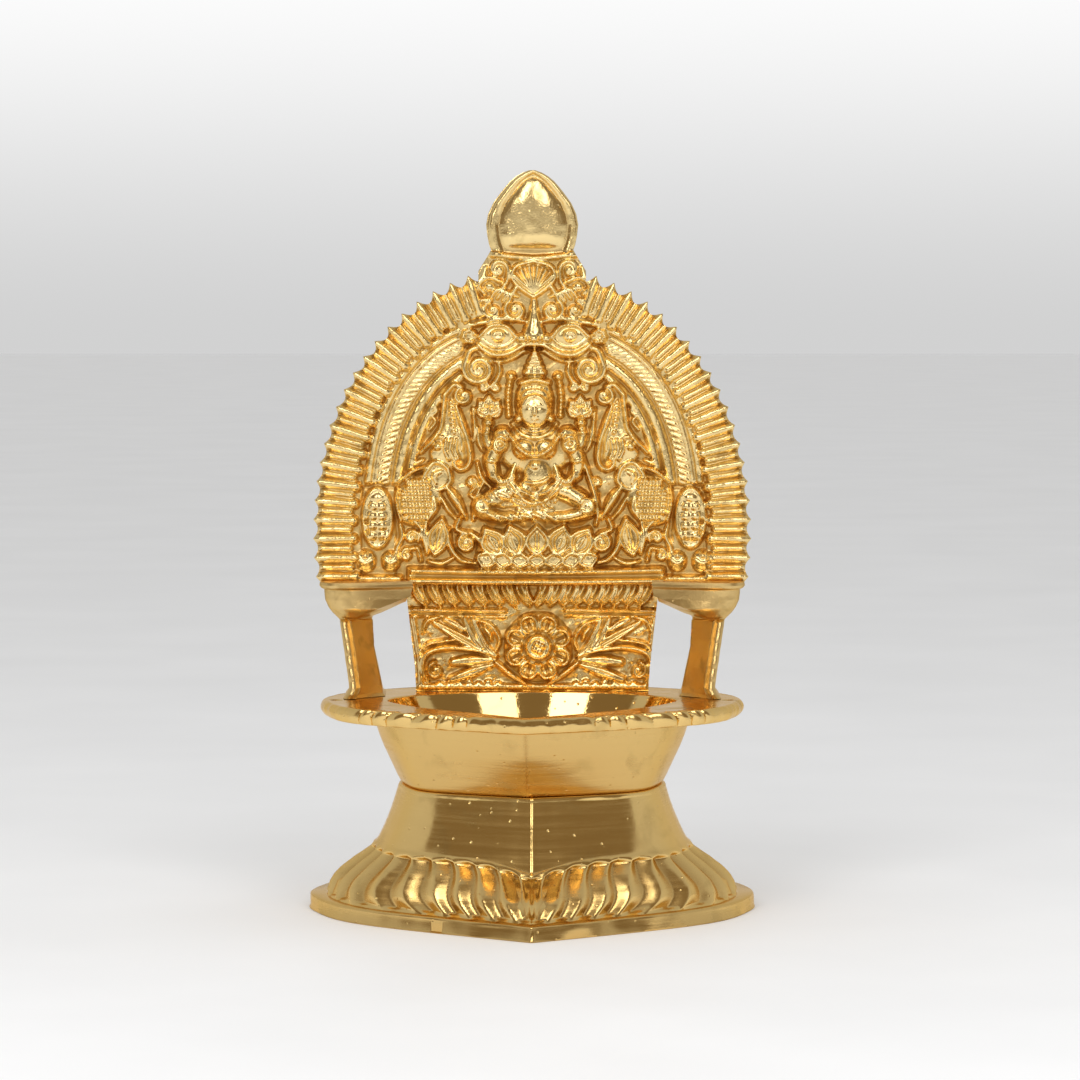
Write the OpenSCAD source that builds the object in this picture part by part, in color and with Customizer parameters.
// Brass oil lamp: a leaf-shaped foot, an oil bowl with a rim plate, and a toothed
// backplate with a seated figure. Millimetres, +Z up, the front point of the leaf towards -Y.
// The origin is the middle of the flange's footprint, on the surface the lamp stands on.

/* [Foot] */
// Half width of the flange
flange_half_w = 37; // [34:0.5:40]
// Distance from the origin to the flange's front point, and to its back
flange_reach = 38.75; // [36:0.25:42]
// Thickness of the flange
flange_t = 2.5; // [2:0.1:3]
// Height of the foot's top, where the bowl sits
waist_z = 21.3; // [20:0.1:23]
// Half width of the waist
waist_half_w = 21.4; // [20:0.1:23]
// Distance from the origin to the waist's front point
waist_reach = 24.8; // [23:0.1:27]
// Wall of the foot
foot_wall = 2.2; // [1.8:0.1:2.8]
// Thickness of the foot's deck
deck_t = 2.6; // [2:0.1:4]

/* [Bowl] */
// Height of the rim plate's top
rim_z = 34.8; // [33:0.1:37]
// Thickness of the rim plate
rim_t = 2.5; // [2:0.1:3]
// Half width of the rim plate across its ears
rim_half_w = 35; // [33:0.5:37]
// Distance from the origin to the rim plate's front point
rim_reach = 35.2; // [34:0.1:37]
// Height of the oil well's floor
well_floor_z = 25; // [24.5:0.1:27]
// Half width of the oil well at its lip
well_half_w = 23.8; // [22:0.1:24]

/* [Backplate] */
// Height of the finial's tip
finial_tip_z = 121.9; // [118:0.1:126]
// Half width of the arch at the tips of its teeth
arch_half_w = 36.6; // [35:0.1:37]
// Height of the arch's widest place
arch_mid_z = 61.3; // [60:0.1:63]
// Rise of the arch's ellipse above that place
arch_rise = 44.8; // [43:0.1:46]
// Fullness of the arch's shoulders: 1 is an ellipse, less is squarer
arch_fullness = 0.95; // [0.9:0.01:1]
// Height of the ledge under the arch
ledge_z = 53; // [52:0.1:54]
// Teeth along each side of the arch
teeth_per_side = 20; // [15:1:23]
// Front face of the plain field behind the figure, along Y
field_y = 13; // [12.5:0.1:14]
// Thickness of the plate behind the field
plate_t = 4; // [3:0.1:4.5]
// Front face of the lower panel, along Y
panel_y = 15.6; // [15.2:0.1:16.5]
// Front face of the pillars, along Y
pillar_y = 2; // [1:0.5:4]

/* [Fasteners] */
// Diameter of the centre stud
stud_d = 6; // [5:0.5:7]
// Diameter of the small screws' shanks
screw_d = 2.4; // [2:0.1:2.8]
// Diameter of the small screws' heads
screw_head_d = 4.2; // [3.8:0.1:4.4]

/* [Hidden] */

$fn = 48;
eps = 0.02;
brass = "#d2a24a";
polished_brass = "#c9973f";
dark_brass = "#a87c34";
plate_back_y = field_y + plate_t;
panel_back_y = panel_y + plate_t;
rim_under_z = rim_z - rim_t;
stud_y = 1;
clearance = 0.05;
front_steps = 14;
back_steps = 24;

// ---- leaf plans -------------------------------------------------------------------------
// A leaf plan is [half width, front reach, corner x, corner y, widest y, back reach].
flange_leaf = [flange_half_w, flange_reach, 0.85 * flange_half_w, 16.5, 3, flange_reach];
waist_leaf = [waist_half_w, waist_reach, 0.865 * waist_half_w, 17.5, -1, 22.5];
cup_top_leaf = [25.9, rim_reach - 1.2, 21.6, 20.5, -3.5, 23.5];
rim_leaf = [rim_half_w, rim_reach, 0.9 * rim_half_w, 18, 2, 29];
well_lip_leaf = [well_half_w, rim_reach - 2.9, 19, 13.6, -1.5, panel_y - 0.8];
well_floor_leaf = [12.5, 15, 10.5, 9, -2, 8];
foot_cavity_floor_leaf = [34.3, 35.6, 28.8, 14.6, 3, 35.8];
foot_cavity_top_leaf = [waist_half_w - foot_wall, waist_reach - 1.3 * foot_wall, 16, 15, -1,
    22.5 - foot_wall];

function mix(a, b, t) = a + (b - a) * t;
function mix_leaf(p, q, t) = [for (i = [0:5]) mix(p[i], q[i], t)];
function bezier(a, b, c, d, t) =
    pow(1 - t, 3) * a + 3 * pow(1 - t, 2) * t * b + 3 * (1 - t) * t * t * c + t * t * t * d;
function leaf_side(p) = [for (i = [0:front_steps]) bezier(
    [0, -p[1]], [p[2], -p[3]], [p[2], -p[3]], [p[0], p[4]], i / front_steps)];
function leaf_back(p) = [for (i = [1:back_steps - 1])
    [p[0] * cos(180 * i / back_steps), p[4] + (p[5] - p[4]) * sin(180 * i / back_steps)]];
function mirrored(points) = [for (i = [len(points) - 1:-1:1]) [-points[i][0], points[i][1]]];
function leaf(p) = concat(leaf_side(p), leaf_back(p), mirrored(leaf_side(p)));
function at_height(points, z) = [for (q = points) [q[0], q[1], z]];

// A solid through leaf plans, each entry being [height, leaf plan], from the lowest upwards.
module leaf_loft(rings) {
    n = len(leaf(rings[0][1]));
    last = len(rings) - 1;
    points = [for (r = rings) each at_height(leaf(r[1]), r[0])];
    walls = [for (k = [0:last - 1], i = [0:n - 1]) each [
        [k * n + i, (k + 1) * n + i, k * n + (i + 1) % n],
        [k * n + (i + 1) % n, (k + 1) * n + i, (k + 1) * n + (i + 1) % n]]];
    floor_face = [for (i = [0:n - 1]) i];
    top_face = [for (i = [n - 1:-1:0]) last * n + i];
    polyhedron(points, concat(walls, [floor_face, top_face]));
}

// ---- foot -------------------------------------------------------------------------------
function foot_leaf(half_w) = mix_leaf(waist_leaf, flange_leaf,
    (half_w - waist_half_w) / (flange_half_w - waist_half_w));
// Heights and half widths of the foot's outside, from the flange up to the waist.
foot_profile = [[0, 36.7], [0.4, 37], [flange_t - 0.4, 37], [flange_t, 36.6], [flange_t + 0.01, 34.2],
    [4.6, 33.8], [6, 32.9], [7.2, 31.5], [8.5, 29.6], [9.8, 27.4], [11.1, 25.9], [13.8, 24.6],
    [16.4, 23.5], [19, 22.6], [20.9, 22], [waist_z, 21.7]];
cavity_profile = [[-eps, 0], [flange_t, 0.02], [5, 0.1], [8, 0.38], [11, 0.78], [14, 0.9],
    [waist_z - deck_t, 1]];

module foot() {
    color(polished_brass)
    difference() {
        leaf_loft([for (p = foot_profile) [p[0], foot_leaf(p[1])]]);
        leaf_loft([for (c = cavity_profile)
            [c[0], mix_leaf(foot_cavity_floor_leaf, foot_cavity_top_leaf, c[1])]]);
        translate([0, stud_y, waist_z - deck_t - 1])
            cylinder(h = deck_t + 2, d = stud_d + 2 * clearance);
    }
}

// ---- bowl -------------------------------------------------------------------------------
// Heights and how far each is on the way from the waist to the cup's top.
cup_profile = [[waist_z, 0], [22, 0.1], [24, 0.3], [26, 0.5], [28, 0.7], [30, 0.86], [31.4, 0.95],
    [rim_under_z, 1]];
well_profile = [[well_floor_z, 0], [25.5, 0.3], [26.5, 0.5], [28, 0.64], [30, 0.775], [32.2, 0.885],
    [rim_z - 0.35, 0.99], [rim_z + eps, 1]];
ear_dimple = [32.2, -0.5];
pillar_screw_at = [27.9, 9];
heel_screw_at = [0, 25];
lug_t = 2.4;

module bowl() {
    color(polished_brass)
    difference() {
        union() {
            leaf_loft([for (p = cup_profile) [p[0], mix_leaf(waist_leaf, cup_top_leaf, p[1])]]);
            leaf_loft([
                [rim_under_z - eps, mix_leaf(rim_leaf, waist_leaf, 0.03)],
                [rim_under_z + 0.5, rim_leaf],
                [rim_z - 0.5, rim_leaf],
                [rim_z, mix_leaf(rim_leaf, waist_leaf, 0.03)]]);
        }
        leaf_loft([for (p = well_profile) [p[0], mix_leaf(well_floor_leaf, well_lip_leaf, p[1])]]);
        translate([0, stud_y, waist_z - 1])
            cylinder(h = 3.4, d = stud_d + 2 * clearance);
        for (side = [-1, 1]) {
            translate([side * pillar_screw_at[0], pillar_screw_at[1], rim_under_z - 1])
                cylinder(h = rim_t + 2, d = screw_d + 2 * clearance);
            translate([side * ear_dimple[0], ear_dimple[1], rim_z - 0.7])
                cylinder(h = 1, d = 1.5);
        }
        translate([heel_screw_at[0], heel_screw_at[1], rim_under_z - 1])
            cylinder(h = rim_t + 2, d = screw_d + 2 * clearance);
    }
}

// ---- backplate --------------------------------------------------------------------------
first_tooth_angle = -9.1;
last_tooth_angle = 76.25;
tooth_angle = (last_tooth_angle - first_tooth_angle) / teeth_per_side;
tooth_root = 0.955;

function fuller(share) = sign(share) * pow(abs(share), arch_fullness);
function arch_point(angle, ratio) = [ratio * arch_half_w * fuller(cos(angle)),
    arch_mid_z + ratio * arch_rise * fuller(sin(angle))];
function toothed_side() = [for (i = [0:teeth_per_side - 1]) each [
    arch_point(first_tooth_angle + i * tooth_angle, tooth_root),
    arch_point(first_tooth_angle + (i + 0.55) * tooth_angle, 1)]];
shoulder = [[9.3, 105.1], [8.2, 106.4], [7.4, 107.6]];
band_outer = 0.86;
function both_sides(points) = concat(points, [for (i = [len(points) - 1:-1:0])
    [-points[i][0], points[i][1]]]);

function band_side(ratio, from, to) = [for (i = [0:20])
    arch_point(from + (to - from) * i / 20, ratio)];

// Stands a flat drawing up in the XZ plane: from y_front back to y_back.
module upright(y_front, y_back) {
    translate([0, y_back, 0])
        rotate([90, 0, 0])
            linear_extrude(y_back - y_front)
                children();
}

// Half widths of the finial, each with its share of the way from its neck up to its tip.
finial_neck_z = 108.6;
finial_profile = [[6.8, 0], [7.15, 0.07], [7.45, 0.18], [7.65, 0.32], [7.35, 0.45], [6.5, 0.59],
    [5.25, 0.72], [4.5, 0.79], [3.7, 0.86], [2.65, 0.925], [1.6, 0.97], [0.5, 1]];

module finial_shape() {
    polygon(both_sides([for (p = finial_profile) [p[0], mix(finial_neck_z, finial_tip_z, p[1])]]));
}

module arch_shape() {
    polygon(both_sides(concat([[35.1, ledge_z]], toothed_side(), shoulder)));
    finial_shape();
    translate([-7, 107]) square([14, 2.5]);
}

module arch_field_shape(ratio) {
    polygon(both_sides(concat([[ratio * 35.1, ledge_z]], band_side(ratio, first_tooth_angle, 82))));
}

module band_shape(outer, inner) {
    difference() {
        arch_field_shape(outer);
        arch_field_shape(inner);
    }
}

module panel_shape() {
    polygon([[-19.4, rim_z], [19.4, rim_z], [19.7, 39], [20.2, 43], [20.8, 48], [21.6, ledge_z + 1],
        [-21.6, ledge_z + 1], [-20.8, 48], [-20.2, 43], [-19.7, 39]]);
}

// One pillar with its corbel under the arch's wing.
module pillar_shape() {
    polygon([[24.6, rim_z], [30.6, rim_z], [30.7, 38.8], [31.6, 43], [32.6, 47.2], [35.1, ledge_z],
        [35.1, ledge_z + 1], [20.5, ledge_z + 1], [20.5, ledge_z - 1.5], [26.7, 48.4], [26.4, 43],
        [25.4, 38.8]]);
}

// The narrow ridge down a pillar's outer edge.
module pillar_ridge_shape() {
    polygon([[28.6, rim_z], [30.6, rim_z], [30.7, 38.8], [31.6, 43], [32.6, 47.2], [35.1, ledge_z],
        [35.1, ledge_z + 1], [33, ledge_z + 1], [30.6, 47.2], [29.6, 43], [28.8, 38.8]]);
}

// One tooth's ridge, from its root on the band out to its point.
module tooth_ridge(i) {
    polygon([
        arch_point(first_tooth_angle + (i + 0.15) * tooth_angle, band_outer - 0.01),
        arch_point(first_tooth_angle + (i + 0.1) * tooth_angle, tooth_root),
        arch_point(first_tooth_angle + (i + 0.5) * tooth_angle, 0.99),
        arch_point(first_tooth_angle + (i + 0.85) * tooth_angle, tooth_root),
        arch_point(first_tooth_angle + (i + 0.75) * tooth_angle, band_outer - 0.01)]);
}

module ball(x, y, z, r) {
    translate([x, y, z]) sphere(r = r, $fn = 24);
}

// A limb between two points of equal thickness at both ends.
module limb(from, to, r) {
    v = to - from;
    length = norm(v);
    translate(from)
        rotate([0, acos(v[2] / length), atan2(v[1], v[0])])
            cylinder(h = length, r = r, $fn = 20);
}

module seated_figure() {
    y = field_y;
    ball(0, y - 1.2, 82.8, 3);
    translate([0, y - 0.9, 84.6]) cylinder(h = 3.2, r1 = 2.8, r2 = 2.1);
    translate([0, y - 0.9, 87.7]) cylinder(h = 3.4, r1 = 1.9, r2 = 0.6);
    translate([0, y - 0.6, 71.8]) cylinder(h = 7.6, r1 = 3.6, r2 = 4.4);
    for (side = [-1, 1]) {
        ball(side * 5.1, y - 0.6, 77.6, 1.9);
        limb([side * 5.1, y - 0.6, 77.6], [side * 7, y - 1.6, 73], 1.3);
        limb([side * 7, y - 1.6, 73], [side * 5.6, y - 2.6, 77.2], 1.1);
        limb([side * 8.7, y - 0.4, 66.4], [-side * 1.5, y - 2.2, 67.2], 2.1);
        ball(side * 8.7, y - 0.4, 66.4, 2.6);
    }
}

module lotus_seat() {
    upright(field_y - 2.6, field_y + 1)
        polygon([[-8.8, 56], [8.8, 56], [10.6, 61.6], [-10.6, 61.6]]);
    for (i = [-3:3])
        ball(i * 3, field_y - 2.2, 59, 1.7);
}

module elephant(side) {
    ball(side * 16.4, field_y, 74.4, 3.2);
    ball(side * 18.2, field_y, 67.6, 4);
    limb([side * 13.8, field_y - 0.4, 84], [side * 14.6, field_y - 0.8, 76], 1.1);
    limb([side * 16, field_y - 0.5, 57], [side * 16.6, field_y - 0.5, 65], 1.6);
}

module guardian_mask() {
    ball(0, field_y - 0.6, 95, 2.2);
    for (side = [-1, 1]) {
        ball(side * 5.6, field_y, 94.4, 1.9);
        ball(side * 9.3, field_y, 88.4, 2.4);
        ball(side * 5.4, field_y, 101.6, 2);
    }
    ball(0, field_y, 101.8, 2.6);
}

module rosette() {
    rosette_z = 43.1;
    rosette_x = 0.8;
    petals = 8;
    translate([rosette_x, panel_y + 0.5, rosette_z])
        rotate([90, 0, 0])
            cylinder(h = 2.2, r = 2.3);
    for (i = [0:petals - 1])
        ball(rosette_x + 3.9 * cos(360 * i / petals), panel_y + 0.2,
            rosette_z + 3.9 * sin(360 * i / petals), 1.4);
}

// The leaning petals between the ledge and the rosette.
module petal_band() {
    for (side = [-1, 1], i = [0:7])
        limb([side * (1.3 + 2.3 * i), panel_y, 52], [side * (2.4 + 2.3 * i), panel_y, 49.4], 0.85);
}

module medallion(side) {
    for (i = [-1:1])
        ball(side * 26.8, field_y + 0.4, 64 + 2.6 * i, 2.4);
}

module heel_lug() {
    translate([-5, panel_back_y - 1, rim_z])
        cube([10, 9.4, lug_t]);
}

module backplate() {
    color(brass)
    difference() {
        union() {
            upright(field_y, plate_back_y) arch_shape();
            upright(field_y - 3, field_y + 1) band_shape(band_outer, 0.8);
            upright(field_y - 1.6, field_y + 1) band_shape(0.74, 0.68);
            for (side = [0, 1], i = [0:teeth_per_side - 1])
                mirror([side, 0, 0])
                    upright(field_y - 2.4, field_y + 1) tooth_ridge(i);
            upright(field_y - 2, field_y + 1) offset(delta = -1.2) finial_shape();
            upright(field_y - 3.6, panel_back_y) translate([-21.6, ledge_z]) square([43.2, 2]);
            upright(panel_y, panel_back_y) panel_shape();
            for (side = [0, 1])
                mirror([side, 0, 0]) {
                    upright(pillar_y + 3, plate_back_y) pillar_shape();
                    upright(pillar_y, pillar_y + 4) pillar_ridge_shape();
                    medallion(1);
                }
            seated_figure();
            lotus_seat();
            elephant(-1);
            elephant(1);
            guardian_mask();
            rosette();
            petal_band();
            heel_lug();
        }
        for (side = [-1, 1])
            translate([side * pillar_screw_at[0], pillar_screw_at[1], rim_z - 1])
                cylinder(h = 6, d = screw_d + 2 * clearance);
        translate([heel_screw_at[0], heel_screw_at[1], rim_z - 1])
            cylinder(h = lug_t + 2, d = screw_d + 2 * clearance);
    }
}

// ---- fasteners --------------------------------------------------------------------------
washer_t = 1;
nut_t = 4;
nut_top_z = waist_z - deck_t - washer_t;

module centre_stud() {
    color(dark_brass)
    translate([0, stud_y, nut_top_z - nut_t - 1.5])
        cylinder(h = waist_z + 2.3 - (nut_top_z - nut_t - 1.5), d = stud_d);
}

module stud_washer() {
    color(dark_brass)
    translate([0, stud_y, nut_top_z])
        difference() {
            cylinder(h = washer_t, d = 2.3 * stud_d);
            translate([0, 0, -1]) cylinder(h = washer_t + 2, d = stud_d + 2 * clearance);
        }
}

module stud_nut() {
    color(dark_brass)
    translate([0, stud_y, nut_top_z - nut_t])
        difference() {
            cylinder(h = nut_t, d = 1.85 * stud_d, $fn = 6);
            translate([0, 0, -1]) cylinder(h = nut_t + 2, d = stud_d + 2 * clearance);
        }
}

// A cheese-head screw that points up, its head's inner face at z = 0.
module screw(length) {
    slot_w = 0.6;
    difference() {
        union() {
            cylinder(h = length, d = screw_d);
            translate([0, 0, -1.4]) cylinder(h = 1.4, d = screw_head_d);
        }
        translate([-screw_head_d, -slot_w / 2, -1.4 - eps]) cube([2 * screw_head_d, slot_w, 0.7]);
    }
}

module pillar_screw(side) {
    color(dark_brass)
    translate([side * pillar_screw_at[0], pillar_screw_at[1], rim_under_z])
        screw(rim_t + 4.5);
}

module pillar_screw_left() {
    pillar_screw(-1);
}

module pillar_screw_right() {
    pillar_screw(1);
}

module heel_screw() {
    color(dark_brass)
    translate([heel_screw_at[0], heel_screw_at[1], rim_z + lug_t])
        mirror([0, 0, 1])
            screw(lug_t + rim_t + 1);
}

foot();
bowl();
backplate();
centre_stud();
stud_washer();
stud_nut();
pillar_screw_left();
pillar_screw_right();
heel_screw();
